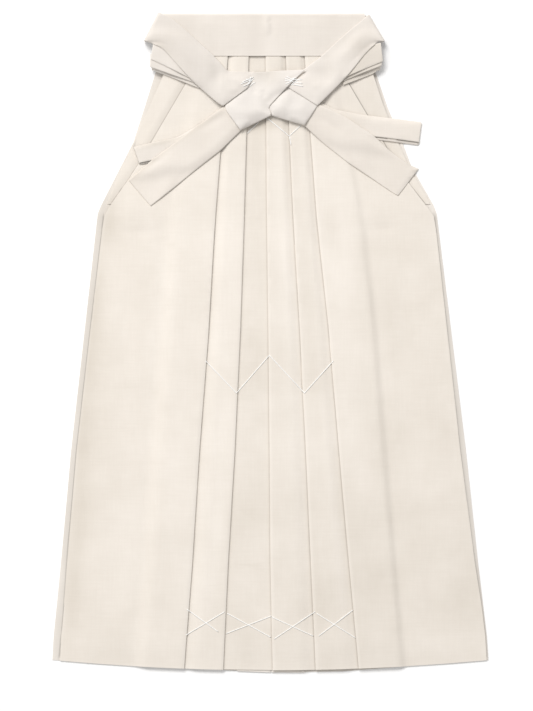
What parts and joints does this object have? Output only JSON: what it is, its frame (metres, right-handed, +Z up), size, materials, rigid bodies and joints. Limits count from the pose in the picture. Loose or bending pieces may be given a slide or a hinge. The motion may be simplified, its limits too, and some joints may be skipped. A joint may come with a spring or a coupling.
{
  "type": "hakama trousers laid flat",
  "caption": "Pleated wide-legged hakama trousers laid flat front up, with open sides at the hip, a waistband and long ties wound round and knotted in a flat bow.",
  "frame": {"origin": "centre of the garment's box, on the surface that it lies on", "axes": "+Y from the hem to the waist, +X to the viewer's right as seen from above, +Z up from the surface, out of the garment's front"},
  "size_m": [0.649, 0.9826, 0.0209],
  "materials": {
    "natural_cotton": "matte undyed plain-weave cotton",
    "front_cotton": "matte undyed plain-weave cotton",
    "tie_cotton": "matte undyed plain-weave cotton"
  },
  "bodies": {
    "root": {"back_left": "natural_cotton", "back_right": "natural_cotton", "side_pleat_left": "natural_cotton", "side_pleat_right": "natural_cotton", "back_waistband": "natural_cotton", "front_left": "front_cotton", "front_right": "front_cotton", "front_waistband": "front_cotton", "wrap_left_inner": "tie_cotton", "wrap_left_middle": "tie_cotton", "wrap_left_outer": "tie_cotton", "wrap_right_inner": "tie_cotton", "wrap_right_middle": "tie_cotton", "wrap_right_outer": "tie_cotton", "loop_left": "tie_cotton", "loop_right": "tie_cotton", "tail_left": "tie_cotton", "tail_right": "tie_cotton", "knot_right": "tie_cotton", "tie_right": "tie_cotton", "knot_left": "tie_cotton", "tie_left": "tie_cotton"}
  },
  "joints": []
}
